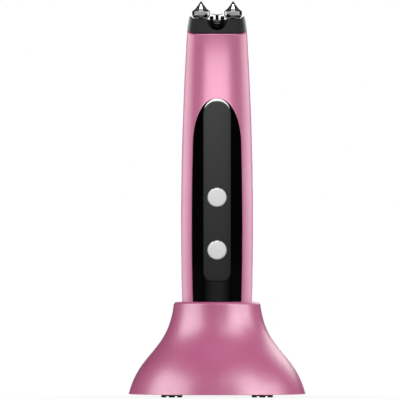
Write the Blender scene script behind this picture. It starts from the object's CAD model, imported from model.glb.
import math
from contextlib import contextmanager

import bmesh
import bpy
import numpy as np
from mathutils import Matrix, Vector


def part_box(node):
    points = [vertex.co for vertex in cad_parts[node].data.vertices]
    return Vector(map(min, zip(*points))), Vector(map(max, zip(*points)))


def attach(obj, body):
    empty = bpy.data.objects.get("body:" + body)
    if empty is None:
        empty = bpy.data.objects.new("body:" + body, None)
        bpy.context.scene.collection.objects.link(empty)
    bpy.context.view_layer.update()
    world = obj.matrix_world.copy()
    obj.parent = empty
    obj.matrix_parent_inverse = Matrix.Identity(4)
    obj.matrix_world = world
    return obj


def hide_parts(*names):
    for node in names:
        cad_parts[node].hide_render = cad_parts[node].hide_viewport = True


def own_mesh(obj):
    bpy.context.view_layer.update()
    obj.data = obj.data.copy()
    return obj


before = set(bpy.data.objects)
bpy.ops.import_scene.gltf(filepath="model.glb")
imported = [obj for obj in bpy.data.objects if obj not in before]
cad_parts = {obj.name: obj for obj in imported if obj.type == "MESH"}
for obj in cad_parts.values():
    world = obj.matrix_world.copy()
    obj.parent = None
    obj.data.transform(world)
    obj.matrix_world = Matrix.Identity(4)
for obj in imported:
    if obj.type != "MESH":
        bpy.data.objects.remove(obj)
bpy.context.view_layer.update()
mm = 0.001
mergeGap = 0.0008 * mm  # points nearer than this become one
quarterTurn = math.pi / 2
fullTurn = 2 * math.pi
print("frame loaded")


# Node writing

def direct(operation):
    return lambda self, other: self.worked(operation, self, other)


def reflected(operation):
    return lambda self, other: self.worked(operation, other, self)


class Reading:
    def __init__(self, tree, socket):
        self.tree = tree
        self.socket = socket

    def worked(self, operation, first, second=None):
        return addNode(self.tree, "ShaderNodeMath", {0: first, 1: second}, operation=operation)

    def called(self, operation, other=None):
        return self.worked(operation, self, other)

    __add__, __radd__ = direct("ADD"), reflected("ADD")
    __sub__, __rsub__ = direct("SUBTRACT"), reflected("SUBTRACT")
    __mul__, __rmul__ = direct("MULTIPLY"), reflected("MULTIPLY")
    __truediv__, __rtruediv__ = direct("DIVIDE"), reflected("DIVIDE")
    __pow__, __rpow__ = direct("POWER"), reflected("POWER")


def feedSocket(tree, socket, value):
    if value is None:
        return
    if isinstance(value, Reading):
        tree.links.new(value.socket, socket)
    elif socket.type == "RGBA":
        socket.default_value = (*value, 1)
    else:
        socket.default_value = value


def addNode(tree, kind, values=None, output=0, **settings):
    node = tree.nodes.new(kind)
    for name, value in settings.items():
        setattr(node, name, value)
    for name, value in (values or {}).items():
        feedSocket(tree, node.inputs[name], value)
    return Reading(tree, node.outputs[output])


def ranged(tree, value, fromLow, fromHigh, toLow, toHigh, kind="LINEAR"):
    limits = {"From Min": fromLow, "From Max": fromHigh, "To Min": toLow, "To Max": toHigh}
    return addNode(tree, "ShaderNodeMapRange", {"Value": value, **limits}, interpolation_type=kind)


def objectPlace(tree):
    return addNode(tree, "ShaderNodeTexCoord", output="Object")


def clearedTree(owner):
    owner.use_nodes = True
    owner.node_tree.nodes.clear()
    return owner.node_tree


def shown(tree, shader, kind="ShaderNodeOutputMaterial"):
    tree.links.new(shader.socket, tree.nodes.new(kind).inputs["Surface"])


# Camera and lamps

viewPlan = {"aimX": -0.00767, "aimZ": 0.0886, "distance": 7.5, "across": 0.18, "sensor": 36}


def placed(name, data):
    piece = bpy.data.objects.new(name, data)
    bpy.context.scene.collection.objects.link(piece)
    return piece


def placeCamera():
    plan = viewPlan
    lens = bpy.data.cameras.new("frontLens")
    lens.sensor_width = plan["sensor"]
    lens.lens = plan["sensor"] * plan["distance"] / plan["across"]
    lens.clip_end = 2 * plan["distance"]
    camera = placed("frontCamera", lens)
    camera.location = (plan["aimX"], -plan["distance"], plan["aimZ"])
    camera.rotation_euler = (quarterTurn, 0, 0)
    bpy.context.scene.camera = camera


def direction(azimuth, elevation):
    a, e = math.radians(azimuth), math.radians(elevation)
    return Vector((math.sin(a) * math.cos(e), -math.cos(a) * math.cos(e), math.sin(e)))


# Each group of lamps lights only its own pieces. A lamp marked mirrored is seen in gloss alone,
# and one marked lighting isn't seen in gloss.
lampFields = ("azimuth", "elevation", "wide", "tall", "level", "only", "distance", "aimZ")
lampUsual = {"only": "both", "distance": 1.1, "aimZ": 0.09}
lampPlan = {
    "shells": [
        (0, 0, 50, 87, 4.2, "mirrored", 0.05, 0.115),
        (0, 0, 50, 60, 4.0, "mirrored", 0.05, 0.24),
        (-65, 15, 70, 60, 2.45, "lighting"),
        (65, 15, 70, 60, 2.45, "lighting"),
        (-110, 0, 62, 44, 2.0),
        (110, 0, 62, 44, 2.0),
        (0, 70, 80, 34, 3.0, "mirrored"),
        (180, 12, 26, 60, 4.2, "mirrored"),
        (180, 24, 70, 60, 1.3, "lighting"),
    ],
    "stand": [
        (64, 15, 62, 28, 4.0),
        (40, 36, 44, 26, 3.5),
        (-71, 22, 56, 42, 3.8),
        (152, 24, 30, 26, 2.2),
    ],
    "controls": [
        (-12, 44, 40, 26, 6.4),
    ],
    "cap": [
        (-146, 8, 40, 30, 2.6),
        (146, 8, 40, 30, 2.6),
        (180, 60, 40, 30, 2.2),
        (0, 60, 70, 14, 4.5, "mirrored"),
    ],
    "rollers": [
        (0, 76, 10, 9, 4.0),
        (-60, 0, 44, 40, 0.4),
        (60, 0, 44, 40, 0.4),
        (-120, 60, 22, 20, 0.35),
        (120, 60, 22, 20, 0.35),
    ],
}
litBy = {name: bpy.data.collections.new("litBy_" + name) for name in lampPlan}


def placeLamp(name, plan, group):
    lamp = bpy.data.lights.new(name, "AREA")
    lamp.shape = "RECTANGLE"
    lamp.size = 2 * plan["distance"] * math.tan(math.radians(plan["wide"] / 2))
    lamp.size_y = 2 * plan["distance"] * math.tan(math.radians(plan["tall"] / 2))
    lamp.energy = plan["level"] * math.pi * lamp.size * lamp.size_y
    towards = direction(plan["azimuth"], plan["elevation"])
    box = placed(name, lamp)
    box.location = Vector((0, 0, plan["aimZ"])) + towards * plan["distance"]
    box.rotation_euler = (-towards).to_track_quat("-Z", "Y").to_euler()
    box.visible_camera = False
    box.visible_diffuse = plan["only"] != "mirrored"
    box.visible_glossy = plan["only"] != "lighting"
    box.light_linking.receiver_collection = litBy[group]


def placeLamps():
    for group, rows in lampPlan.items():
        for number, row in enumerate(rows):
            placeLamp(f"softbox_{group}_{number}", {**lampUsual, **dict(zip(lampFields, row))}, group)


# Floor, cards and world

roomPlan = {
    "ambient": 0.41, "floorSize": 12.0, "floorBelow": 0.00005, "floorColour": (0.88, 0.88, 0.88),
    "floorShadow": 0.1, "shadowFrom": 0.03, "shadowTo": 0.12, "columns": 36, "rows": 16, "fadeTo": 0.03,
    "drapes": [
        {"name": "drape", "from": -170, "to": 170, "low": -40, "high": 90, "radius": 1.6, "level": 0.02},
        {"name": "topCard", "from": -180, "to": 180, "low": 72, "high": 90, "radius": 1.2, "level": 0.4},
        {"name": "frontCard", "from": -30, "to": 30, "low": -17.6, "high": 27, "radius": 0.28, "level": 0.36,
         "fade": 0.13},
    ],
    "floorCard": {"half": 1.6, "front": -1.6, "back": -0.045, "height": 0.0002, "level": 0.05},
}


def glowing(name, level, fade=None):
    material = bpy.data.materials.new(name)
    tree = clearedTree(material)
    if fade:
        aside = addNode(tree, "ShaderNodeSeparateXYZ", {0: objectPlace(tree)}).called("ABSOLUTE")
        level = ranged(tree, aside, 0.0, fade, level, roomPlan["fadeTo"], "SMOOTHSTEP")
    shown(tree, addNode(tree, "ShaderNodeEmission", {"Strength": level}))
    return material


def seenDirectly(tree):
    path = tree.nodes.new("ShaderNodeLightPath")
    camera, glossy, through = (
        Reading(tree, path.outputs[f"Is {kind} Ray"]) for kind in ("Camera", "Glossy", "Transmission"))
    return camera.called("MAXIMUM", glossy).called("MAXIMUM", through)


def paleFloor():
    plan = roomPlan
    material = bpy.data.materials.new("paleFloor")
    tree = clearedTree(material)
    matte = addNode(tree, "ShaderNodeBsdfDiffuse", {"Color": plan["floorColour"]})
    glow = addNode(tree, "ShaderNodeEmission", {"Strength": 1.0})
    away = addNode(tree, "ShaderNodeVectorMath", {0: objectPlace(tree)}, "Value", operation="LENGTH")
    share = ranged(tree, away, plan["shadowFrom"], plan["shadowTo"], 1 - plan["floorShadow"], 1, "SMOOTHSTEP")
    mix = {"Fac": share * seenDirectly(tree), 1: matte, 2: glow}
    shown(tree, addNode(tree, "ShaderNodeMixShader", mix))
    return material


def stagePiece(name, points, faces, material):
    mesh = bpy.data.meshes.new(name)
    mesh.from_pydata(points, [], faces)
    mesh.materials.append(material)
    piece = placed(name, mesh)
    return piece


def flatPiece(name, half, front, back, height, material):
    corners = [(x, y, height) for x, y in boxOutline(-half, half, front, back)]
    return stagePiece(name, corners, [(0, 1, 2, 3)], material)


def boxOutline(left, right, low, high):
    return [(left, low), (right, low), (right, high), (left, high)]


def gridFaces(rows, columns, kept=lambda row, column: True):
    return [(r * columns + c, r * columns + c + 1, (r + 1) * columns + c + 1, (r + 1) * columns + c)
            for r in range(rows - 1) for c in range(columns - 1) if kept(r, c)]


def onlyReflected(piece):
    piece.visible_camera = piece.visible_diffuse = piece.visible_shadow = False
    piece.visible_transmission = piece.visible_volume_scatter = False


def placeDrape(plan):
    rows, columns = roomPlan["rows"] + 1, roomPlan["columns"] + 1
    centre = Vector((0, 0, lampUsual["aimZ"]))
    points = [centre + direction(azimuth, elevation) * plan["radius"]
              for elevation in np.linspace(plan["low"], plan["high"], rows)
              for azimuth in np.linspace(plan["from"], plan["to"], columns)]
    glow = glowing(plan["name"], plan["level"], plan.get("fade"))
    onlyReflected(stagePiece(plan["name"], points, gridFaces(rows, columns), glow))


def placeRoom():
    half, card = roomPlan["floorSize"] / 2, roomPlan["floorCard"]
    flatPiece("floor", half, -half, half, -roomPlan["floorBelow"], paleFloor())
    dark = glowing("floorCard", card["level"])
    onlyReflected(flatPiece("floorCard", card["half"], card["front"], card["back"], card["height"], dark))
    for plan in roomPlan["drapes"]:
        placeDrape(plan)
    world = bpy.data.worlds.new("paleRoom")
    bpy.context.scene.world = world
    tree = clearedTree(world)
    level = ranged(tree, seenDirectly(tree), 0, 1, roomPlan["ambient"], 1)
    light = addNode(tree, "ShaderNodeBackground", {"Color": (1, 1, 1), "Strength": level})
    shown(tree, light, "ShaderNodeOutputWorld")


bpy.context.scene.view_settings.view_transform = "Standard"
placeCamera()
placeRoom()
placeLamps()
print("camera, floor and lamps placed")


# Colours and finishes, with textures in millimetres

def shade(*levels):
    shares = [level / 255 for level in levels]
    return tuple(c / 12.92 if c <= 0.04045 else ((c + 0.055) / 1.055) ** 2.4 for c in shares)


class Finish:
    def __init__(self, name, values):
        self.material = bpy.data.materials.new(name)
        self.tree = clearedTree(self.material)
        self.shader = self.tree.nodes.new("ShaderNodeBsdfPrincipled")
        shown(self.tree, Reading(self.tree, self.shader.outputs[0]))
        self.feed(values)
        self.place = self.scaled(objectPlace(self.tree), (1 / mm, 1 / mm, 1 / mm))

    def feed(self, values):
        for name, value in values.items():
            feedSocket(self.tree, self.shader.inputs[name], value)
        return self.material

    def node(self, kind, values, output=0, **settings):
        return addNode(self.tree, kind, values, output, **settings)

    def scaled(self, vector, scale):
        return self.node("ShaderNodeMapping", {"Vector": vector, "Scale": scale})

    def noise(self, scale, detail, vector=None):
        values = {"Vector": vector or self.place, "Scale": scale, "Detail": detail}
        return self.node("ShaderNodeTexNoise", values)

    def flakes(self, size):
        cells = self.node("ShaderNodeTexVoronoi", {"Vector": self.place, "Scale": 1 / size}, "Color")
        return self.node("ShaderNodeSeparateColor", {0: cells})

    def along(self, axis):
        return self.node("ShaderNodeSeparateXYZ", {0: self.place}, axis)

    def ranged(self, value, *limits):
        return ranged(self.tree, value, *limits)

    def mixed(self, share, first, second):
        return self.node("ShaderNodeMix", {0: share, 6: first, 7: second}, 2, data_type="RGBA")

    def bump(self, height, depth):
        values = {"Height": height, "Distance": depth * mm, "Strength": 1.0}
        return self.node("ShaderNodeBump", values, "Normal")

    def around(self, value, middle, spread):
        return self.ranged(value, 0.3, 0.7, middle - spread, middle + spread)

    def grained(self, grain, first, second, roughness, vary, depth, spread=0.2):
        share = self.ranged(grain, 0.5 - spread, 0.5 + spread, 0, 1)
        return self.feed({
            "Base Color": self.mixed(share, first, second),
            "Roughness": self.around(grain, roughness, vary),
            "Normal": self.bump(grain, depth),
        })


pearlLook = {
    "pink": shade(177, 82, 125), "deep": shade(170, 74, 117), "lit": shade(202, 122, 157),
    "flakeSize": 0.12, "roughness": 0.42, "metallic": 0.08, "coat": 0.95, "coatRoughness": 0.34,
    "density": 1.7, "cloud": 0.06, "skin": 0.0035,
}


def pearlPink():
    look = pearlLook
    finish = Finish("pearlPink", {
        "Metallic": look["metallic"], "Coat Roughness": look["coatRoughness"],
        "IOR": look["density"], "Coat IOR": look["density"],
    })
    flake = finish.flakes(look["flakeSize"])
    cloud = finish.noise(look["cloud"], 3.0)
    shareOfDeep = finish.ranged(flake * 0.45 + cloud * 0.55, 0.25, 0.75, 0.0, 1.0)
    sparkle = finish.ranged(flake, 0.9, 1.0, 0.0, 0.25)
    colour = finish.mixed(shareOfDeep, look["deep"], look["pink"])
    return finish.feed({
        "Base Color": finish.mixed(sparkle, colour, look["lit"]),
        "Roughness": finish.around(finish.noise(0.4, 4.0), look["roughness"], 0.03),
        "Coat Weight": finish.ranged(cloud, 0.3, 0.7, look["coat"] * 0.9, look["coat"]),
        "Normal": finish.bump(flake + finish.noise(1.2, 2.0) * 2, look["skin"]),
    })


glossLook = {
    "black": (0.0004, 0.0004, 0.0005), "dust": (0.001, 0.001, 0.0012), "roughness": 0.05, "wave": 0.002,
}


def glossBlack():
    look = glossLook
    finish = Finish("glossBlack", {"IOR": 1.47, "Coat Roughness": 0.03})
    haze = finish.noise(0.35, 5.0)
    return finish.feed({
        "Base Color": finish.mixed(finish.ranged(haze, 0.3, 0.7, 0, 1), look["black"], look["dust"]),
        "Roughness": finish.ranged(haze, 0.3, 0.75, look["roughness"], look["roughness"] + 0.05),
        "Coat Weight": finish.ranged(haze, 0.3, 0.7, 0.15, 0.2),
        "Normal": finish.bump(finish.noise(0.15, 1.0), look["wave"]),
    })


stripLook = {
    "low": shade(37, 38, 38), "high": shade(61, 62, 62), "from": 52.0, "to": 133.0, "roughness": 0.42,
}


def satinGrey():
    look = stripLook
    finish = Finish("satinGrey", {"IOR": 1.45})
    grain = finish.noise(9.0, 3.0)
    climb = finish.ranged(finish.along("Z"), look["from"], look["to"], 0.0, 1.0)  # paler towards the top
    return finish.feed({
        "Base Color": finish.mixed(climb + (grain - 0.5) * 0.3, look["low"], look["high"]),
        "Roughness": finish.around(grain, look["roughness"], 0.05),
        "Normal": finish.bump(grain, 0.01),
    })


lensLook = {"milk": (0.9, 0.9, 0.88), "white": (1, 1, 1), "glow": 0.22}


def lensWhite():
    look = lensLook
    finish = Finish("lensWhite", {"IOR": 1.5, "Emission Strength": look["glow"]})
    cloud = finish.noise(1.5, 3.0)
    share = finish.ranged(cloud, 0.3, 0.7, 0, 1)
    finish.feed({"Emission Color": finish.mixed(share, look["milk"], look["white"])})
    return finish.grained(cloud, look["milk"], look["white"], 0.25, 0.05, 0.004)


silverLook = {
    "silver": shade(244, 244, 245), "shadow": shade(237, 237, 239), "roughness": 0.3, "flakeSize": 0.12,
}


def pearlSilver():
    look = silverLook
    finish = Finish("pearlSilver", {"Metallic": 0.1, "Coat Roughness": 0.12, "IOR": 1.5})
    flake = finish.flakes(look["flakeSize"])
    return finish.feed({
        "Base Color": finish.mixed(flake * 0.5, look["silver"], look["shadow"]),
        "Roughness": finish.around(finish.noise(0.8, 3.0), look["roughness"], 0.04),
        "Coat Weight": finish.ranged(flake, 0, 1, 0.2, 0.3),
        "Normal": finish.bump(flake, 0.003),
    })


capLook = {"black": shade(70, 70, 70), "worn": shade(78, 78, 78), "roughness": 0.41}


def headBlack():
    look = capLook
    finish = Finish("headBlack", {"IOR": 1.47})
    grain = finish.noise(7.0, 4.0)
    return finish.grained(grain, look["black"], look["worn"], look["roughness"], 0.05, 0.008, 0.15)


def polishedBlack():
    finish = Finish("polishedBlack", {"IOR": 1.5})
    haze = finish.noise(2.0, 4.0)
    return finish.feed({
        "Base Color": finish.mixed(haze, shade(12, 12, 13), shade(18, 18, 19)),
        "Roughness": finish.around(haze, 0.16, 0.04),
        "Normal": finish.bump(finish.noise(1.0, 2.0), 0.004),
    })


def metalFinish(name, bright, dull, roughness, scratch, *stretch):
    finish = Finish(name, {"Metallic": 1.0})
    lines = finish.noise(1.0, 5.0, finish.scaled(finish.place, stretch))
    return finish.grained(lines, dull, bright, roughness * 1.025, roughness * 0.225, scratch, 0.15)


def plasticFinish(name, level, paler, roughness, grainScale, grainDepth):
    finish = Finish(name, {"IOR": 1.46})
    grain = finish.noise(grainScale, 4.0)
    return finish.grained(grain, shade(*level), shade(*paler), roughness, 0.06, grainDepth)


boardLook = {
    "mask": shade(24, 84, 48), "track": shade(44, 116, 66), "pitch": 1.1, "trackShare": 0.34, "bend": 6,
}


def boardGreen():
    look = boardLook
    finish = Finish("boardGreen", {"IOR": 1.5})
    across = (finish.along("X") + finish.noise(0.12, 0.0) * look["bend"]) / look["pitch"]
    band = across.called("FRACT").called("LESS_THAN", look["trackShare"])
    patch = finish.noise(0.2, 1.0).called("GREATER_THAN", 0.48)
    track = band * patch
    return finish.feed({
        "Base Color": finish.mixed(track, look["mask"], look["track"]),
        "Roughness": finish.around(finish.noise(3.0, 3.0), 0.44, 0.06),
        "Normal": finish.bump(track, 0.02),
    })


cellLook = {
    "dull": shade(150, 156, 160), "bright": shade(178, 183, 187), "tape": shade(196, 150, 42),
    "tapeFrom": 108.5,
}


def cellSilver():
    look = cellLook
    finish = Finish("cellSilver", {"Metallic": 0.5, "IOR": 1.5})
    crease = finish.noise(0.5, 4.0)
    tape = finish.along("Z").called("GREATER_THAN", look["tapeFrom"])
    return finish.feed({
        "Base Color": finish.mixed(tape, finish.mixed(crease, look["dull"], look["bright"]), look["tape"]),
        "Roughness": finish.around(crease, 0.375, 0.075),
        "Normal": finish.bump(crease, 0.03),
    })


finishes = {
    "pearl_pink": pearlPink(),
    "panel_black": glossBlack(),
    "strip_grey": satinGrey(),
    "lens_white": lensWhite(),
    "button_silver": pearlSilver(),
    "head_black": headBlack(),
    "polished_black": polishedBlack(),
    "roller_chrome": metalFinish(
        "rollerChrome", (0.9, 0.91, 0.92), (0.82, 0.83, 0.84), 0.05, 0.0006, 2, 2, 14),
    "steel": metalFinish("brushedSteel", (0.62, 0.63, 0.64), (0.45, 0.46, 0.47), 0.32, 0.003, 3, 3, 24),
    "contact_gold": metalFinish("contactGold", (0.86, 0.66, 0.28), (0.7, 0.5, 0.19), 0.2, 0.002, 5, 5, 5),
    "board_green": boardGreen(),
    "chip_black": plasticFinish("chipBlack", (22, 23, 25), (32, 33, 35), 0.5, 6.0, 0.01),
    "cell_silver": cellSilver(),
    "inner_grey": plasticFinish("innerGrey", (106, 107, 109), (118, 119, 121), 0.55, 2.0, 0.02),
    "arm_grey": plasticFinish("armGrey", (120, 120, 122), (134, 134, 136), 0.35, 5.0, 0.01),
    "dark_plastic": plasticFinish("darkPlastic", (28, 28, 30), (38, 38, 40), 0.5, 5.0, 0.015),
    "foot_rubber": plasticFinish("footRubber", (20, 20, 21), (30, 30, 31), 0.82, 8.0, 0.03),
}
print("finishes mixed")


# Mesh helpers

def freshPiece(name, points, faces):
    mesh = bpy.data.meshes.new(name)
    mesh.from_pydata([tuple(float(c) * mm for c in p) for p in points], [], faces)
    return placed(name, mesh)


@contextmanager
def editing(piece):
    work = bmesh.new()
    work.from_mesh(piece.data)
    yield work
    work.to_mesh(piece.data)
    work.free()


def tidied(piece):
    with editing(piece) as work:
        bmesh.ops.remove_doubles(work, verts=work.verts, dist=mergeGap)
        bmesh.ops.dissolve_degenerate(work, edges=work.edges, dist=mergeGap)
        bmesh.ops.recalc_face_normals(work, faces=work.faces)
    return piece


def facingOut(piece):
    with editing(piece) as work:
        lean = sum(f.normal.xy.dot(f.calc_center_median().xy) for f in work.faces)
        if lean < 0:
            bmesh.ops.reverse_faces(work, faces=work.faces)
    return piece


def capEnds(piece):
    with editing(piece) as work:
        bmesh.ops.remove_doubles(work, verts=work.verts, dist=mergeGap)
        bmesh.ops.holes_fill(work, edges=[e for e in work.edges if e.is_boundary], sides=0)
    return tidied(piece)


def modify(piece, name, kind, **settings):
    modifier = piece.modifiers.new(name, kind)
    for setting, value in settings.items():
        setattr(modifier, setting, value)


def settled(piece):
    bpy.context.view_layer.update()
    graph = bpy.context.evaluated_depsgraph_get()
    mesh = bpy.data.meshes.new_from_object(piece.evaluated_get(graph))
    piece.modifiers.clear()
    piece.data = mesh
    return piece


def carved(piece, *cutters):
    for cutter in cutters:
        modify(piece, "carve", "BOOLEAN", operation="DIFFERENCE", solver="EXACT", object=cutter)
    settled(piece)
    for cutter in cutters:
        bpy.data.objects.remove(cutter)
    return piece


def rounded(piece, width, angle=50, clamp=False):
    modify(piece, "soften", "BEVEL", width=width * mm, segments=2, limit_method="ANGLE",
           angle_limit=math.radians(angle), use_clamp_overlap=clamp)
    return settled(piece)


def thickened(piece, wall):
    modify(piece, "wall", "SOLIDIFY", thickness=wall * mm, offset=-1, use_even_offset=True)
    return settled(piece)


lampsFor = {
    "pearl_pink": "shells", "panel_black": None, "strip_grey": "controls", "lens_white": "controls",
    "button_silver": "controls", "head_black": "cap", "polished_black": "cap", "roller_chrome": "rollers",
}


def dressed(piece, finish, body, nodes, sharp=38, lamps=None):
    piece.data.materials.clear()
    piece.data.materials.append(finishes[finish])
    piece.data.polygons.foreach_set("material_index", [0] * len(piece.data.polygons))
    piece.data.shade_smooth()
    piece.data.set_sharp_from_angle(angle=math.radians(sharp))
    modify(piece, "evenShading", "WEIGHTED_NORMAL", keep_sharp=True)
    settled(piece)
    group = lamps or lampsFor.get(finish, "stand")
    if group:
        litBy[group].objects.link(piece)
    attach(piece, body)
    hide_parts(*nodes)
    return piece


def gridPiece(name, rows, *kept):
    return freshPiece(name, [p for row in rows for p in row], gridFaces(len(rows), len(rows[0]), *kept))


def prism(name, outline, back, front):
    count = len(outline)
    points = [(x, -depth, z) for depth in (back, front) for x, z in outline]
    faces = [tuple(range(count)), tuple(range(2 * count - 1, count - 1, -1))]
    faces += [(i, i + count, (i + 1) % count + count, (i + 1) % count) for i in range(count)]
    return tidied(freshPiece(name, points, faces))


def openTree(name, shape, sockets):
    tree = bpy.data.node_groups.new(name, "GeometryNodeTree")
    tree.interface.new_socket("Geometry", in_out="OUTPUT", socket_type="NodeSocketGeometry")
    for socket, kind in {shape: "Geometry", **sockets, "Finish": "Material"}.items():
        tree.interface.new_socket(socket, in_out="INPUT", socket_type="NodeSocket" + kind)
    given = tree.nodes.new("NodeGroupInput")
    return tree, {socket.name: Reading(tree, socket) for socket in given.outputs if socket.name}


def closeTree(tree, shape, finish):
    real = addNode(tree, "GeometryNodeRealizeInstances", {"Geometry": shape})
    painted = addNode(tree, "GeometryNodeSetMaterial", {"Geometry": real, "Material": finish})
    tree.links.new(painted.socket, tree.nodes.new("NodeGroupOutput").inputs["Geometry"])
    return tree


# Turning tree: sweeps a profile of radius and height round the upright axis. Where the profile's
# share is 1 the sweep follows an oval, and its radius is added to it.

def turningTree():
    tree, put = openTree("turning", "Profile", {
        "Sides": "Int", "Start Angle": "Float", "Half Width": "Float", "Half Depth": "Float",
        "Squareness": "Float",
    })
    count = addNode(tree, "GeometryNodeAttributeDomainSize", {"Geometry": put["Profile"]})
    size = {"Vertices X": put["Sides"] + 1, "Vertices Y": count}
    grid = addNode(tree, "GeometryNodeMeshGrid", size)
    index = addNode(tree, "GeometryNodeInputIndex")
    turn = (index / count).called("FLOOR")
    step = index - turn * count
    angle = put["Start Angle"] + turn / put["Sides"] * fullTurn
    here = {"Geometry": put["Profile"], "Value": addNode(tree, "GeometryNodeInputPosition"), "Index": step}
    spot = addNode(tree, "GeometryNodeSampleIndex", here, data_type="FLOAT_VECTOR")
    radius, share, height = (addNode(tree, "ShaderNodeSeparateXYZ", {0: spot}, axis) for axis in "XYZ")
    x, y = angle.called("COSINE"), angle.called("SINE")
    power = put["Squareness"]
    wide, deep = (x / put["Half Width"]).called("ABSOLUTE"), (y / put["Half Depth"]).called("ABSOLUTE")
    drawn = radius + share * (wide ** power + deep ** power) ** (-1.0 / power)
    place = addNode(tree, "ShaderNodeCombineXYZ", {0: x * drawn, 1: y * drawn, 2: height})
    swept = addNode(tree, "GeometryNodeSetPosition", {"Geometry": grid, "Position": place})
    closed = addNode(tree, "GeometryNodeMergeByDistance", {"Geometry": swept, "Distance": mergeGap})
    return closeTree(tree, closed, put["Finish"])


# Repeating tree: copies one piece to the points of a grid, as screws, feet and contacts lie

def repeatingTree():
    tree, put = openTree("repeating", "Piece", {
        "Across": "Float", "Along": "Float", "Columns": "Int", "Rows": "Int", "Turn Each": "Float",
    })
    grid = addNode(tree, "GeometryNodeMeshGrid", {
        "Size X": put["Across"], "Size Y": put["Along"],
        "Vertices X": put["Columns"], "Vertices Y": put["Rows"],
    })
    angle = addNode(tree, "GeometryNodeInputIndex") * put["Turn Each"]
    turn = addNode(tree, "ShaderNodeCombineXYZ", {2: angle})
    lay = {"Points": grid, "Instance": put["Piece"], "Rotation": turn}
    return closeTree(tree, addNode(tree, "GeometryNodeInstanceOnPoints", lay), put["Finish"])


turning = turningTree()
repeating = repeatingTree()


def grown(piece, tree, values):
    modifier = piece.modifiers.new("grow", "NODES")
    modifier.node_group = tree
    sockets = {item.name: item.identifier for item in tree.interface.items_tree if item.in_out == "INPUT"}
    for name, value in values.items():
        modifier[sockets[name]] = value
    return settled(piece)


def turned(name, profile, sides=64, place=(0, 0, 0), forward=False, start=0.0, oval=(10, 10, 2)):
    points = [(r, (share[0] if share else 0) / mm, h) for r, h, *share in profile]
    piece = grown(freshPiece(name, points, []), turning, {
        "Sides": sides, "Start Angle": float(start), "Half Width": oval[0] * mm, "Half Depth": oval[1] * mm,
        "Squareness": float(oval[2]), "Finish": finishes["steel"],
    })
    if forward:
        piece.data.transform(Matrix.Rotation(quarterTurn, 4, "X"))
    piece.data.transform(Matrix.Translation(Vector(place) * mm))
    return tidied(piece)


def rod(name, radius, low, high, sides, place, forward=False):
    return turned(name, boxOutline(0, radius, low, high), sides, place, forward)


def repeated(piece, across, along, columns, rows, finish, turnEach=0.0):
    return grown(piece, repeating, {
        "Across": across * mm, "Along": along * mm, "Columns": columns, "Rows": rows,
        "Turn Each": turnEach, "Finish": finishes[finish],
    })


def quarter(count, start=0):
    return np.linspace(start, quarterTurn, count)


def edgeSteps(radius, count=5):  # how far aside and how far down a rounded edge is at each step
    return [(radius * (1 - math.cos(a)), radius * (1 - math.sin(a))) for a in quarter(count)]


def arc(x, z, radius, angles, tall=None):
    return [(x + radius * math.cos(a), z + (tall or radius) * math.sin(a)) for a in angles]


def roundTurns(count):
    return [fullTurn * i / count for i in range(count + 1)]


def paired(spacing):
    return (("Left", -spacing / 2), ("Right", spacing / 2))


print("trees and helpers ready")


# Handset outline, in millimetres from the handset's lower end

handsetPlan = {
    "rest": 11.1, "gripWidth": 32.5, "gripDepth": 27.0, "neckWidth": 27.1, "neckDepth": 20.5,
    "gripHeight": 66.9, "seamHeight": 152.6, "squareness": 2.4,
    "shellBottom": 2.8, "seamFlatHalf": 9.6, "seamClimb": 2.4, "gap": 0.3,
}
rest, seamHeight, squareness = (handsetPlan[name] for name in ("rest", "seamHeight", "squareness"))


def halvesAt(height, inset=0.0):
    plan = handsetPlan
    step = (height - plan["gripHeight"]) / (seamHeight - plan["gripHeight"])
    width = plan["gripWidth"] - (plan["gripWidth"] - plan["neckWidth"]) * step * step
    depth = plan["gripDepth"] - (plan["gripDepth"] - plan["neckDepth"]) * step * step
    return width / 2 - inset, depth / 2 - inset


def squared(value, power):
    return np.sign(value) * np.abs(value) ** (2 / power)


def skinPoint(turn, height, inset=0.0):
    halfWidth, halfDepth = halvesAt(height, inset)
    x = halfWidth * squared(math.sin(turn), squareness)
    y = -halfDepth * squared(math.cos(turn), squareness)
    return (x, y, height + rest)


def skinRing(turns, height, inset=0.0):
    heights = height if hasattr(height, "__len__") else [height] * len(turns)
    return [skinPoint(t, h, inset) for t, h in zip(turns, heights)]


def frontPoint(aside, height, inset=0.0):
    halfWidth, halfDepth = halvesAt(height, inset)
    share = min(abs(aside) / halfWidth, 1)
    return (aside, -halfDepth * (1 - share ** squareness) ** (1 / squareness), height + rest)


def seamRise(aside):
    flat = handsetPlan["seamFlatHalf"]
    share = min(max((abs(aside) - flat) / (halvesAt(seamHeight)[0] - flat), 0), 1)
    return handsetPlan["seamClimb"] * (1 - math.sqrt(1 - share)) ** 2


panelPlan = {
    "margin": 5.0, "bottom": 16.0, "spring": 100.9, "arch": 22.1, "archPower": 2.2,
    "gap": 0.12, "proud": 0.2, "depth": 1.1, "edge": 0.14,
    "evenTo": 96.0, "closeFrom": 112, "closeReach": 11.1, "leastWidth": 0.06,
}


def panelHalf(height, margin=0.0):
    plan = panelPlan
    if height <= plan["spring"]:
        return halvesAt(height)[0] - plan["margin"] + margin
    foot = halvesAt(plan["spring"])[0] - plan["margin"] + margin
    share = min((height - plan["spring"]) / (plan["arch"] + margin), 1)
    return foot * (1 - share ** plan["archPower"]) ** (1 / plan["archPower"])


def archHeights(margin, steps):
    plan = panelPlan
    reach = plan["arch"] + margin
    return [plan["spring"] + reach * squared(math.sin(a), plan["archPower"]) for a in quarter(steps + 1)[1:]]


# Pink shells of the handset

shellPlan = {
    "wall": 1.7, "topRound": 0.75, "edge": 0.14, "sideColumns": 26, "middleColumns": 20,
    "rearColumns": 96, "rearRows": 60, "rearTo": 122, "crownRows": 18,
}


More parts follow.
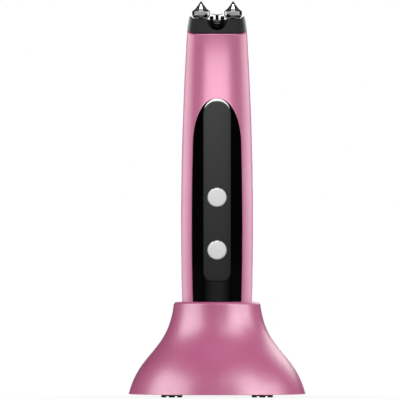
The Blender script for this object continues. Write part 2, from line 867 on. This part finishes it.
def crownRows(turns, low):
    count, bend = shellPlan["crownRows"], shellPlan["topRound"]
    top = np.array([seamHeight - handsetPlan["gap"] + seamRise(skinPoint(t, seamHeight)[0]) for t in turns])
    rows = [skinRing(turns, low + (top - bend - low) * i / count) for i in range(1, count + 1)]
    return rows + [skinRing(turns, top - drop, inset) for inset, drop in edgeSteps(bend, 6)[1:]]


def heldToSkin(piece, side):
    plan = handsetPlan
    top = seamHeight - plan["gap"] + plan["seamClimb"]
    for vertex in piece.data.vertices:
        x, y, z = vertex.co / mm
        height = min(max(z - rest, plan["shellBottom"]), top)
        halfWidth, halfDepth = halvesAt(height)
        reach = (abs(x) / halfWidth) ** squareness + (abs(y) / halfDepth) ** squareness
        draw = reach ** (-1 / squareness) if reach > 1 else 1
        y = y * draw if y * side > 0 else 0  # the two shells meet at y = 0
        vertex.co = Vector((x * draw, y, height + rest)) * mm
    return piece


def finishShell(sheet, side, node):
    facingOut(tidied(sheet))
    heldToSkin(rounded(thickened(sheet, shellPlan["wall"]), shellPlan["edge"]), side)
    return dressed(tidied(sheet), "pearl_pink", "handset", [node])


def frontShell():
    gap, low = panelPlan["gap"], handsetPlan["shellBottom"]
    opening = panelPlan["bottom"] - gap
    heights = [*np.linspace(low, opening, 6), *np.linspace(opening, panelPlan["spring"], 44)[1:]]
    heights += archHeights(gap, 30)
    lastOpen = len(heights) - 1
    side, middle = shellPlan["sideColumns"], shellPlan["middleColumns"]

    def turnsAt(half, height):
        share = min(half / halvesAt(height)[0], 1)
        edge = math.asin(min(share ** (squareness / 2), 1))
        left = np.linspace(-quarterTurn, -edge, side + 1)
        inner = np.linspace(-edge, edge, middle + 1)[1:-1]
        return [*left, *inner, *(-left[::-1])]

    rows = []
    for height in heights:
        half = panelHalf(max(height, opening), gap) if height < heights[lastOpen] else 0
        rows.append(skinRing(turnsAt(half, height), height))
    rows += crownRows(turnsAt(0, heights[lastOpen]), heights[lastOpen])

    def kept(row, column):
        inOpening = side <= column < side + middle
        return not inOpening or heights[min(row + 1, lastOpen)] <= opening + 1e-6

    return finishShell(gridPiece("frontShellSkin", rows, kept), -1, "front_shell")


def rearShell():
    plan = shellPlan
    turns = np.linspace(quarterTurn, 1.5 * math.pi, plan["rearColumns"] + 1)
    heights = np.linspace(handsetPlan["shellBottom"], plan["rearTo"], plan["rearRows"])
    rows = [skinRing(turns, height) for height in heights] + crownRows(turns, heights[-1])
    return finishShell(gridPiece("rearShellSkin", rows), 1, "rear_shell")


frontShell()
rearShell()
print("pink shells formed")


# Lower end of the handset

endPlan = {
    "height": 2.5, "round": 1.5, "skirtReach": 5.0, "skirtInset": 2.7, "edge": 0.1, "sides": 120, "sunk": 0.3,
    "screwSpacing": 15.2, "screwWell": 2.1, "contactSpacing": 6.0, "contactWell": 1.75, "wellDepth": 1.5,
}


def endCap():
    plan = endPlan
    turns = roundTurns(plan["sides"])
    skirtTop = plan["height"] + plan["skirtReach"]
    rings = [[(0, 0, skirtTop + rest)] * len(turns)]
    rings += [skinRing(turns, height, plan["skirtInset"]) for height in (skirtTop, plan["height"])]
    rings += [skinRing(turns, plan["height"])]
    rings += [skinRing(turns, height, inset) for inset, height in edgeSteps(plan["round"], 7)]
    rings += [[(x * share, y * share, z) for x, y, z in rings[-1]] for share in (0.66, 0.33, 0)]
    wells = [rod(f"{kind}{side}", plan[kind], -1, plan["wellDepth"], 40, (x, 0, rest))
             for kind, spacing in (("screwWell", "screwSpacing"), ("contactWell", "contactSpacing"))
             for side, x in paired(plan[spacing])]
    cap = carved(tidied(gridPiece("endCapSkin", rings)), *wells)
    return dressed(rounded(cap, plan["edge"]), "pearl_pink", "handset", ["end_cap"])


screwPlan = {
    "head": 1.8, "headHeight": 0.9, "shank": 0.85, "length": 5.6, "dome": 0.35,
    "slotWidth": 0.6, "slotDepth": 0.4, "slotReach": 0.62, "edge": 0.05, "turnEach": 0.6,
}


def crossScrew(name):
    plan = screwPlan
    head, high, shank = plan["head"], plan["headHeight"], plan["shank"]
    dome, end = high * plan["dome"], high + plan["length"]
    outline = [(0, 0), (head - dome * 1.4, 0), (head - dome * 0.4, dome * 0.4), (head, dome), (head, high)]
    outline += [(shank, high), (shank, end), (0, end + shank * 0.5)]
    screw = turned(name, outline, 40)
    reach, half = head * plan["slotReach"], plan["slotWidth"] / 2
    slot = [(-reach, -1), (reach, -1), (reach * 0.8, plan["slotDepth"]), (-reach * 0.8, plan["slotDepth"])]
    arms = [prism(f"{name}Arm{number}", slot, -half, half) for number in (0, 1)]
    arms[1].data.transform(Matrix.Rotation(quarterTurn, 4, "Z"))
    return rounded(carved(screw, *arms), plan["edge"])


def screwSet(name, across, along, columns, rows, z, body, nodes):
    screws = repeated(crossScrew(name), across, along, columns, rows, "steel", screwPlan["turnEach"])
    screws.data.transform(Matrix.Translation((0, 0, z * mm)))
    return dressed(screws, "steel", body, nodes)


studPlan = {
    "outline": [(0, 0.06), (1.2, 0.06), (1.45, 0.12), (1.6, 0.3), (1.6, 0.9), (0.7, 0.9), (0.7, 4.5),
                (0, 4.5)],
}


def contactStud(side, x):
    stud = turned("contactStud" + side, studPlan["outline"], 40, (x, 0, rest + endPlan["sunk"]))
    return dressed(stud, "contact_gold", "handset", ["charge_contact_" + side.lower()])


endCap()
screwSet("endScrews", endPlan["screwSpacing"], 0, 2, 1, rest + endPlan["sunk"], "handset",
         ["end_screw_left", "end_screw_right"])
for side, x in paired(endPlan["contactSpacing"]):
    contactStud(side, x)
print("lower end closed")


# Control panel, strip and status lens

stripPlan = {
    "half": 6.1, "bottom": 41.1, "top": 121.9, "corner": 4.2, "proud": 0.3, "depth": 0.75,
    "lensCrown": 1.1, "lensRadius": 5.8, "lensSwell": 0.15, "gap": 0.12, "edge": 0.14,
}


def stripHalf(height, margin=0.0):
    plan = stripPlan
    half, corner = plan["half"] + margin, plan["corner"] + margin
    low, high = plan["bottom"] - margin, plan["top"] + margin
    if height < low + corner:
        fall = min(max(low + corner - height, 0), corner)
        return half - corner + math.sqrt(corner * corner - fall * fall)
    if height > high - half:
        climb = min(height - (high - half), half)
        return math.sqrt(half * half - climb * climb)
    return half


def lensHalf(height, margin=0.0):
    plan = stripPlan
    middle = plan["top"] + plan["lensCrown"] - plan["lensRadius"]
    radius = plan["lensRadius"] + margin
    return math.sqrt(max(radius * radius - (height - middle) ** 2, 0)) if height > middle else 0


def seatHalf(height, gap):
    return max(stripHalf(height, gap) if height < stripPlan["top"] else 0, lensHalf(height, gap))


def stripFoot(margin=0.0):
    plan = stripPlan
    flat, corner, low = plan["half"] - plan["corner"], plan["corner"] + margin, plan["bottom"] - margin
    points = [(flat * s, low) for s in np.linspace(0, 1, 4)]
    return points + arc(flat, low + corner, corner, np.linspace(-quarterTurn, 0, 11)[1:])


def between(first, second, reach):
    return first[0] + (second[0] - first[0]) * reach, first[1] + (second[1] - first[1]) * reach


def panelStations():
    plan, gap = panelPlan, stripPlan["gap"]
    inner = stripFoot(gap)
    foot = panelHalf(plan["bottom"])
    outer = [(foot * s, plan["bottom"]) for s in np.linspace(0, 1, len(inner))]
    share = np.linspace(0, 1, 36)[1:]
    inner += [(stripHalf(h, gap), h) for h in inner[-1][1] + (plan["evenTo"] - inner[-1][1]) * share]
    outer += [(panelHalf(h), h) for h in plan["bottom"] + (plan["evenTo"] - plan["bottom"]) * share]
    close = plan["closeFrom"] + plan["closeReach"] * np.sin(quarter(30)[1:])
    for height in [*np.linspace(plan["evenTo"], plan["closeFrom"], 10)[1:], *close]:
        edge, seat = panelHalf(height), seatHalf(height, gap)
        if edge - seat < plan["leastWidth"]:
            break
        inner.append((seat, height))
        outer.append((edge, height))
    right = list(zip(outer, inner))
    left = [((-a, h), (-b, k)) for (a, h), (b, k) in right[:0:-1]]
    return left + right


def controlPanel():
    plan = panelPlan
    rows = []
    for outer, inner in panelStations():
        width = math.dist(outer, inner)
        edge = min(plan["edge"], width * 0.4)
        steps = edgeSteps(edge)
        begin, end = edge / width, 1 - edge / width
        row = [(between(outer, inner, d / width), drop) for d, drop in steps]
        row += [(between(outer, inner, begin * (1 - s) + end * s), 0) for s in np.linspace(0, 1, 9)[1:-1]]
        row += [(between(inner, outer, d / width), drop) for d, drop in steps[::-1]]
        row += [(inner, plan["depth"]), (outer, plan["depth"]), row[0]]
        rows.append([frontPoint(x, h, drop - plan["proud"]) for (x, h), drop in row])
    return dressed(capEnds(gridPiece("panelFace", rows)), "panel_black", "handset", ["control_panel"])


buttonPlan = {
    "radius": 4.27, "bevel": 0.75, "proud": 0.9, "crown": 0.16, "gap": 0.38, "mode": 55.0, "power": 78.7,
    "flange": 5.45, "flangeLow": 9.4, "flangeHigh": 10.2, "stem": 1.6, "stemLow": 9.3,
    "markAside": 1.3, "markWidth": 0.55, "markLow": 3.55, "markDepth": 1.8,
}


def stripLoop():
    plan = stripPlan
    half, top = plan["half"], plan["top"] - plan["half"]
    right = stripFoot()
    right += [(half, h) for h in np.linspace(plan["bottom"] + plan["corner"], top, 44)[1:]]
    right += arc(0, top, half, quarter(19)[1:])
    return right + [(-x, h) for x, h in right[-2::-1]]


def controlStrip():
    plan = stripPlan
    low, high = plan["bottom"] + plan["half"], plan["top"] - plan["half"]
    rows = []
    for outer in stripLoop():
        middle = (0, min(max(outer[1], low), high))
        width = math.dist(outer, middle)
        row = [(middle, plan["depth"]), (outer, plan["depth"])]
        row += [(between(outer, middle, d / width), drop) for d, drop in edgeSteps(plan["edge"])]
        row += [(between(outer, middle, s), 0) for s in np.linspace(plan["edge"] / width, 1, 9)[1:]]
        rows.append([frontPoint(x, h, drop - plan["proud"]) for (x, h), drop in row])
    radius = buttonPlan["radius"] + buttonPlan["gap"]
    holes = [rod("stripHole_" + name, radius, 5, 20, 96, (0, 0, buttonPlan[name] + rest), True)
             for name in ("mode", "power")]
    strip = carved(tidied(gridPiece("stripFace", rows)), *holes)
    return dressed(strip, "strip_grey", "handset", ["control_strip"])


def statusLens():
    plan = stripPlan
    middleStrip = plan["top"] - plan["half"]
    middleLens = plan["top"] + plan["lensCrown"] - plan["lensRadius"]
    reach, lift = plan["half"] + plan["gap"], middleLens - middleStrip
    meet = (reach ** 2 - plan["lensRadius"] ** 2 + lift ** 2) / (2 * lift)
    tip = math.sqrt(reach ** 2 - meet ** 2)  # the crescent's corners, where its two arcs meet
    rows = []
    for x in tip * np.sin(np.linspace(-quarterTurn + 0.1, quarterTurn - 0.1, 49)):
        low = middleStrip + math.sqrt(max(reach ** 2 - x * x, 0))
        high = middleLens + math.sqrt(max(plan["lensRadius"] ** 2 - x * x, 0))
        row = []
        for s in np.linspace(0, 1, 7):
            swell = plan["lensSwell"] * math.sin(math.pi * s)
            row.append(frontPoint(x, low + (high - low) * s, -plan["proud"] - swell))
        rows.append([*row, frontPoint(x, high, plan["depth"]), frontPoint(x, low, plan["depth"]), row[0]])
    return dressed(capEnds(gridPiece("lensFace", rows)), "lens_white", "handset", ["status_lens"])


def buttonMarks(name, middle, front):
    plan = buttonPlan
    half, low, high = plan["markWidth"] / 2, middle + plan["markLow"], middle + plan["radius"] + 1
    back = front - plan["markDepth"]
    return [prism(f"{name}Mark{side}", boxOutline(x - half, x + half, low, high), back, front + 1)
            for side, x in paired(2 * plan["markAside"])]


def roundButton(name, height, body):
    plan = buttonPlan
    front = -frontPoint(0, height)[1] + stripPlan["proud"] + plan["proud"]
    radius, bevel, crown = plan["radius"], plan["bevel"], plan["crown"]
    outline = [(0, plan["stemLow"]), (plan["stem"], plan["stemLow"]), (plan["stem"], plan["flangeLow"])]
    outline += [(plan["flange"], plan["flangeLow"]), (plan["flange"], plan["flangeHigh"])]
    outline += [(radius, plan["flangeHigh"]), (radius, front - bevel)]
    outline += arc(radius - bevel, front - bevel, bevel, quarter(6, 0.2), bevel - crown)
    outline += [((radius - bevel) * s, front - crown * s * s) for s in (0.93, 0.8, 0.6, 0.4, 0.2, 0)]
    middle = height + rest
    button = carved(turned(name, outline, 96, (0, 0, middle), True), *buttonMarks(name, middle, front))
    return dressed(button, "button_silver", body, [body.replace("_body", "")], sharp=30)


controlPanel()
controlStrip()
statusLens()
roundButton("modeCap", buttonPlan["mode"], "mode_button_body")
roundButton("powerCap", buttonPlan["power"], "power_button_body")
print("panel, strip and buttons set")


# Head cap with its saddle

headPlan = {
    "height": 6.1, "lipRise": 1.6, "lipWidth": 2.0, "lipBow": 0.85, "draft": 0.5, "round": 0.8, "skirt": 5.0,
    "skirtInset": 1.75, "saddleRadius": 4.5, "saddleRise": 0.5, "rollerSpacing": 14.4, "collarRadius": 2.6,
    "collarHeight": 0.4, "clear": 0.3, "soften": 0.1, "softenAngle": 42, "sides": 144,
}
headTop = seamHeight + headPlan["height"]


def headRings():
    plan = headPlan
    turns = roundTurns(plan["sides"])
    seams = np.array([seamHeight + seamRise(skinPoint(t, seamHeight)[0]) for t in turns])
    skirt, lip, draft = seamHeight - plan["skirt"], headTop + plan["lipRise"], plan["draft"]
    rings = [[(0, 0, skirt + rest)] * len(turns)]
    rings += [skinRing(turns, height, plan["skirtInset"]) for height in (skirt, seams)]
    climb = lip - plan["round"] - seams
    rings += [skinRing(turns, seams + climb * share, draft * share) for share in np.linspace(0, 1, 9)]
    rings += [skinRing(turns, lip - drop, draft + inset) for inset, drop in edgeSteps(plan["round"], 7)[1:]]
    return rings + [[(0, 0, lip + rest)] * len(turns)]


def headCap():
    plan = headPlan
    above = headTop + plan["lipRise"] + 2 + rest
    reach = plan["rollerSpacing"] / 2 + plan["collarRadius"] + plan["clear"]
    bow = [(reach + plan["lipWidth"] * s, headTop + plan["lipRise"] * s ** plan["lipBow"] + rest)
           for s in np.linspace(0, 1, 9)]
    wide = bow[-1][0]
    channel = [*bow, (wide, above), (-wide, above), *((-x, z) for x, z in bow[::-1])]
    radius, middle = plan["saddleRadius"], headTop - plan["saddleRise"] + rest
    notch = arc(0, middle, radius, np.linspace(math.pi, fullTurn, 41)) + [(radius, above), (-radius, above)]
    back = guidePlan["forward"] - guidePlan["domeRadius"] - plan["clear"]
    cap = tidied(gridPiece("headCapSkin", headRings()))
    carved(cap, prism("topChannel", channel, -20, 20), prism("saddleNotch", notch, back, 20))
    return dressed(rounded(cap, plan["soften"], plan["softenAngle"]), "head_black", "handset", ["head_cap"])


# Guide in the saddle: a dome with a post, two upturned arms and a bead on a stem at each side

guidePlan = {
    "forward": 5.5, "domeRadius": 3.1, "domeHeight": 4.4, "postRadius": 0.68, "postHeight": 2.5, "clear": 0.3,
    "armReach": 2.6, "armRise": 0.6, "armBreadth": 1.5, "armHalfHeight": 0.2, "armLift": 2.4, "armSides": 16,
    "beadSpacing": 4.9, "beadRadius": 0.95, "beadLift": 0.95, "stemRadius": 0.62, "stemLow": 2.2,
    "stemReach": 0.7,
}
guideSeat = headTop - headPlan["saddleRise"] - headPlan["saddleRadius"] + guidePlan["clear"]
guideCrown = guideSeat + guidePlan["domeHeight"]


def guidePost():
    plan = guidePlan
    half, post, top = plan["domeHeight"] / 2, plan["postRadius"], guideCrown + plan["postHeight"]
    outline = [(0, guideSeat)]
    outline += arc(0, guideSeat + half, plan["domeRadius"], np.linspace(-1.45, 1.25, 26), half)
    outline += [(post + out, guideCrown + up) for out, up in ((0.18, 0.1), (0.06, 0.35), (0, 0.8))]
    post = turned("guidePost", outline + [(post, top), (0, top)], 72, (0, -plan["forward"], rest))
    return dressed(post, "polished_black", "handset", ["centre_guide"], 45)


def guideArms():
    plan = guidePlan
    reach, level, aside = plan["armReach"], guideCrown + plan["armLift"] + rest, -plan["forward"]
    ring = arc(0, 0, 1, np.linspace(0, fullTurn, plan["armSides"] + 1))
    rows = []
    for x in np.linspace(-reach, reach, 33):
        share = x / reach
        middle = level + plan["armRise"] * share ** 2
        half = plan["armHalfHeight"] * math.sqrt(max(1 - share ** 8, 0.02))
        ends = plan["armBreadth"] / 2 * math.sqrt(max(1 - share ** 6, 0.05))
        rows.append([(x, aside + ends * squared(c, 4), middle + half * squared(s, 4)) for c, s in ring])
    first, last = ([(x, aside, level + plan["armRise"])] * len(ring) for x in (-reach, reach))
    arms = tidied(gridPiece("guideArms", [first, *rows, last]))
    return dressed(arms, "arm_grey", "handset", ["centre_guide"], 50)


def guideBead(side, x):
    plan = guidePlan
    middle, radius, stem = guideCrown + plan["beadLift"], plan["beadRadius"], plan["stemRadius"]
    foot = guideSeat + plan["stemLow"]
    ball = [(0, foot), (stem, foot), (stem, middle - plan["stemReach"])]
    ball += arc(0, middle, radius, np.linspace(-0.8, quarterTurn - 0.02, 14))
    bead = turned("guideBead" + side, ball + [(0, middle + radius)], 40, (x, -plan["forward"], rest))
    return dressed(bead, "polished_black", "handset", ["centre_guide"])


# Rollers, with a washer under each

rollerPlan = {
    "sides": 12, "edge": 0.05, "clear": 0.3,
    "outline": [(0, 0), (3.4, 0), (4.15, 1.2), (4.15, 3), (2.7, 4.1), (1.1, 6.15), (0, 7.8)],
}
washerPlan = {"radius": 3.25, "height": 0.62, "bore": 1.35, "edge": 0.1}


def roller(side, x):
    plan = rollerPlan
    base = rest + headTop + headPlan["collarHeight"] + plan["clear"]
    start = math.pi / plan["sides"]  # a flat, not a corner, faces the front
    gem = turned("gemRoller" + side, plan["outline"], plan["sides"], (x, 0, base), start=start)
    rounded(gem, plan["edge"], 12)
    return dressed(gem, "roller_chrome", f"roller_{side.lower()}_body", ["roller_" + side.lower()], sharp=3.5)


def washer(side, x):
    radius, height, bore, edge = washerPlan.values()
    outline = [(bore, 0), (radius, 0)]
    outline += [(radius - aside, height - down) for aside, down in edgeSteps(edge)]
    ring = turned("rollerRing" + side, outline + [(bore, height), (bore, 0)], 64, (x, 0, rest + headTop))
    return dressed(ring, "polished_black", "handset", ["roller_collar_" + side.lower()])


headCap()
guidePost()
guideArms()
for side, x in paired(guidePlan["beadSpacing"]):
    guideBead(side, x)
for side, x in paired(headPlan["rollerSpacing"]):
    roller(side, x)
    washer(side, x)
print("head assembled")


# Stand

standPlan = {
    "height": 42.8, "rimRadius": 19.594, "rimRound": 1.7, "footRadius": 39.8, "footHeight": 1.2,
    "waistSwell": 2.6, "footTuck": 4.7, "flareHeight": 20.3, "wall": 2.4, "collarUnder": 35.8,
    "socketGap": 0.5, "socketEdge": 0.5, "windowGap": 0.3, "windowCorner": 1.7, "edge": 0.12,
}


def socketOval():
    width, depth = halvesAt(standPlan["height"] - rest)
    return width + standPlan["socketGap"], depth + standPlan["socketGap"], squareness


def bellPoint(share):
    plan = standPlan
    corners = [
        (plan["rimRadius"], plan["height"] - plan["rimRound"]),
        (plan["rimRadius"] + plan["waistSwell"], plan["flareHeight"]),
        (plan["footRadius"] - plan["footTuck"], plan["flareHeight"]),
        (plan["footRadius"], plan["footHeight"]),
    ]
    weights = [(1 - share) ** 3, 3 * share * (1 - share) ** 2, 3 * share ** 2 * (1 - share), share ** 3]
    return [sum(w * c[k] for w, c in zip(weights, corners)) for k in (0, 1)]


def bellInside(share, wall):
    r, h = bellPoint(share)
    ahead, behind = bellPoint(min(share + 0.01, 1)), bellPoint(max(share - 0.01, 0))
    run, fall = ahead[0] - behind[0], ahead[1] - behind[1]
    length = math.hypot(run, fall)
    return r + wall * fall / length, h - wall * run / length


def bellProfile():
    plan = standPlan
    top, roundness, edge, under = plan["height"], plan["rimRound"], plan["socketEdge"], plan["collarUnder"]
    foot = bellPoint(1)
    profile = [(foot[0] - 0.5, foot[1]), (foot[0] - 0.12, foot[1] + 0.03), (foot[0], foot[1] + 0.2)]
    profile += [tuple(bellPoint(s)) for s in np.linspace(0.985, 0, 60)]
    profile += [(plan["rimRadius"] - aside, top - down) for aside, down in edgeSteps(roundness, 13)[1:]]
    inner = plan["rimRadius"] - roundness
    profile += [(inner * (1 - share) + edge * share, top, share) for share in (0.25, 0.5, 0.75)]
    profile += [(down, top - aside, 1) for aside, down in edgeSteps(edge)]
    profile += [(0, h, 1) for h in (top - 2.5, under + 2, under)]
    inside = [bellInside(share, plan["wall"]) for share in np.linspace(0.22, 0.96, 16)]
    profile += [(r, h) for r, h in inside if h < under - 1]
    last = profile[-1][0]
    return profile + [(last + 0.4, foot[1] + 0.3), (last + 0.7, foot[1]), profile[0]]


def roundedBox(halfWidth, halfHeight, corner, middle, steps=7):
    outline = []
    for sx, sz, begin in ((1, 1, 0), (-1, 1, 90), (-1, -1, 180), (1, -1, 270)):
        angles = np.radians(np.linspace(begin, begin + 90, steps))
        outline += arc(sx * (halfWidth - corner), middle + sz * (halfHeight - corner), corner, angles)
    return outline


def standShell():
    plan = standPlan
    shell = turned("bellShell", bellProfile(), 192, oval=socketOval())
    low, high = (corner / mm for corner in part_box("charge_inlet"))
    halfWidth, halfHeight = high.x + plan["windowGap"], (high.z - low.z) / 2 + plan["windowGap"]
    window = roundedBox(halfWidth, halfHeight, plan["windowCorner"], (high.z + low.z) / 2)
    carved(shell, prism("inletWindow", window, -60, -25))
    return dressed(rounded(shell, plan["edge"], 60), "pearl_pink", "stand", ["stand_shell"], lamps="stand")


socketPlan = {"floor": 10.8, "wall": 1.6, "fillet": 0.6, "filletBend": 0.18, "pinHole": 2.05, "edge": 0.12}


def socketCup():
    plan = socketPlan
    low, high = (corner.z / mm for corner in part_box("stand_socket"))
    floor, fillet, bend = plan["floor"], plan["fillet"], plan["filletBend"]
    profile = [(0, low), (plan["wall"], low, 1), (plan["wall"], high, 1), (0, high, 1)]
    profile += [(0, floor + fillet, 1), (-bend, floor + bend, 1), (-fillet, floor, 1), (0, floor)]
    cup = turned("socketWell", profile, 144, oval=socketOval())
    holes = [rod("pinHole" + side, plan["pinHole"], 0, 20, 48, (x, 0, 0))
             for side, x in paired(pinPlan["spacing"])]
    return dressed(rounded(carved(cup, *holes), plan["edge"]), "dark_plastic", "stand", ["stand_socket"])


pinPlan = {
    "spacing": 6.0, "barrelRadius": 1.75, "barrelLow": 6.4, "barrelHigh": 10.65, "floor": 0.5, "mouth": 1.0,
    "bore": 1.3, "shoulder": 9.9, "edge": 0.1, "flangeRadius": 1.05, "flangeLow": 9.25, "flangeHigh": 9.75,
    "tipRadius": 0.7, "tipMiddle": 10.4,
}


def pinBarrel(side, x):
    plan = pinPlan
    radius, low, high, edge = plan["barrelRadius"], plan["barrelLow"], plan["barrelHigh"], plan["edge"]
    mouth, bore, shoulder, floor = plan["mouth"], plan["bore"], plan["shoulder"], low + plan["floor"]
    outline = [(0, low), (radius - edge, low), (radius, low + edge), (radius, high - edge)]
    outline += [(radius - edge, high), (mouth + edge, high), (mouth, high - edge), (mouth, shoulder)]
    outline += [(bore, shoulder), (bore, floor), (0, floor)]
    barrel = turned("pinBarrel" + side, outline, 48, (x, 0, 0))
    return dressed(barrel, "contact_gold", "stand", ["charge_pin_barrel_" + side.lower()])


def pinPlunger(side, x):
    plan = pinPlan
    flange, low, high = plan["flangeRadius"], plan["flangeLow"], plan["flangeHigh"]
    tip, middle = plan["tipRadius"], plan["tipMiddle"]
    outline = [(0, low), (flange, low), (flange, high), (tip, high), (tip, middle)]
    plunger = turned("pinPlunger" + side, outline + arc(0, middle, tip, quarter(8, 0.15)), 48, (x, 0, 0))
    name = "charge_pin_" + side.lower()
    return dressed(plunger, "contact_gold", name + "_body", [name])


springPlan = {"radius": 0.75, "wire": 0.35, "turns": 2, "low": 7.05, "high": 9.1, "travel": 1.0, "steps": 24}


def pinSpring(side, x):
    plan = springPlan
    half = plan["wire"] / 2
    low, high = plan["low"] + half, plan["high"] - half
    ring = arc(0, 0, half, np.linspace(0, fullTurn, 13))
    rows = []
    for share in np.linspace(0, 1, plan["steps"] * plan["turns"] + 1):
        turn, middle = share * plan["turns"] * fullTurn, low + (high - low) * share
        around = [(plan["radius"] + out, middle + up) for out, up in ring]
        rows.append([(x + r * math.cos(turn), r * math.sin(turn), z) for r, z in around])
    coil = capEnds(gridPiece("pinCoil" + side, rows))
    dressed(coil, "steel", "stand", ["charge_pin_spring_" + side.lower()])
    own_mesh(coil)


footPlan = {
    "radius": 4.75, "height": 1.85, "groove": 1.1, "grooveDepth": 0.6, "grooveSpacing": 3.8, "across": 40.606,
    "edge": 0.08,
}
standCorners = [f"{a}_{b}" for a in ("front", "rear") for b in ("left", "right")]


def feet():
    plan = footPlan
    radius, height, across, half = plan["radius"], plan["height"], plan["across"], plan["groove"] / 2
    outline = [(0, 0), (radius - 0.25, 0), (radius - 0.06, 0.08), (radius, 0.28)]
    outline += [(radius, height - 0.1), (radius - 0.1, height), (0, height)]
    treads = [prism("tread" + side, boxOutline(x - half, x + half, -1, plan["grooveDepth"]), -6, 6)
              for side, x in paired(plan["grooveSpacing"])]
    pad = rounded(carved(turned("rubberFeet", outline), *treads), plan["edge"], clamp=True)
    repeated(pad, across, across, 2, 2, "foot_rubber")
    return dressed(pad, "foot_rubber", "stand", ["stand_foot_" + corner for corner in standCorners])


inletPlan = {
    "wall": 0.3, "floor": 0.7, "canEdge": 0.06, "tongueHalf": 3.3, "tongueThick": 0.7, "tongueCorner": 0.2,
    "tongueFrom": 0.6, "tongueTo": 5.2, "tongueEdge": 0.04, "pads": 12, "padAcross": 5.5, "padHalf": 0.13,
    "padLow": 0.34, "padHigh": 0.37, "padFrom": 0.9, "padTo": 4.9,
}


def chargeInlet():
    plan = inletPlan
    low, high = (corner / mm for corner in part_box("charge_inlet"))
    middle, half, front = (low.z + high.z) / 2, (high.z - low.z) / 2, -low.y
    inner = half - plan["wall"]
    can = prism("inletCan", roundedBox(high.x, half, half - 0.02, middle), -high.y, front)
    mouth = roundedBox(high.x - plan["wall"], inner, inner - 0.02, middle)
    carved(can, prism("inletMouth", mouth, -high.y - 1, front - plan["floor"]))
    dressed(rounded(can, plan["canEdge"]), "steel", "stand", ["charge_inlet"])
    bar = roundedBox(plan["tongueHalf"], plan["tongueThick"] / 2, plan["tongueCorner"], middle, 3)
    tongue = prism("inletTongue", bar, front - plan["tongueTo"], front - plan["tongueFrom"])
    dressed(rounded(tongue, plan["tongueEdge"]), "chip_black", "stand", ["charge_inlet"])
    strip = boxOutline(-plan["padHalf"], plan["padHalf"], middle + plan["padLow"], middle + plan["padHigh"])
    pad = prism("inletPads", strip, front - plan["padTo"], front - plan["padFrom"])
    repeated(pad, plan["padAcross"], 0.0, plan["pads"], 1, "contact_gold")
    return dressed(pad, "contact_gold", "stand", ["charge_inlet"])


def standScrews():
    low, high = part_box("stand_screw_front_left")
    farLow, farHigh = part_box("stand_screw_rear_right")
    apart = ((farLow + farHigh) - (low + high)) / 2 / mm
    nodes = ["stand_screw_" + corner for corner in standCorners]
    return screwSet("standScrews", apart.x, apart.y, 2, 2, low.z / mm, "stand", nodes)


standShell()
socketCup()
for side, x in paired(pinPlan["spacing"]):
    pinBarrel(side, x)
    pinPlunger(side, x)
for side, x in paired(pinPlan["spacing"]):
    pinSpring(side, x)
feet()
chargeInlet()
standScrews()
print("stand built")


# Nodes that stay as they are, each with its own finish

keptNodes = {
    "steel": ["mode_switch", "power_switch", "chassis_screw_lower", "chassis_screw_upper",
              "roller_axle_left", "roller_axle_right"],
    "dark_plastic": ["stand_base_plate", "mode_switch_plunger", "power_switch_plunger"],
    "board_green": ["charge_board", "main_board"],
    "chip_black": ["control_chip", "boost_coil"],
    "contact_gold": ["roller_contact_left", "roller_contact_right"],
    "lens_white": ["status_led"], "inner_grey": ["chassis"], "cell_silver": ["battery"],
}
for finish, nodes in keptNodes.items():
    for node in nodes:
        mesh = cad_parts[node].data
        mesh.materials.clear()
        mesh.materials.append(finishes[finish])
        litBy["stand"].objects.link(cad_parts[node])
print("finishes laid on")
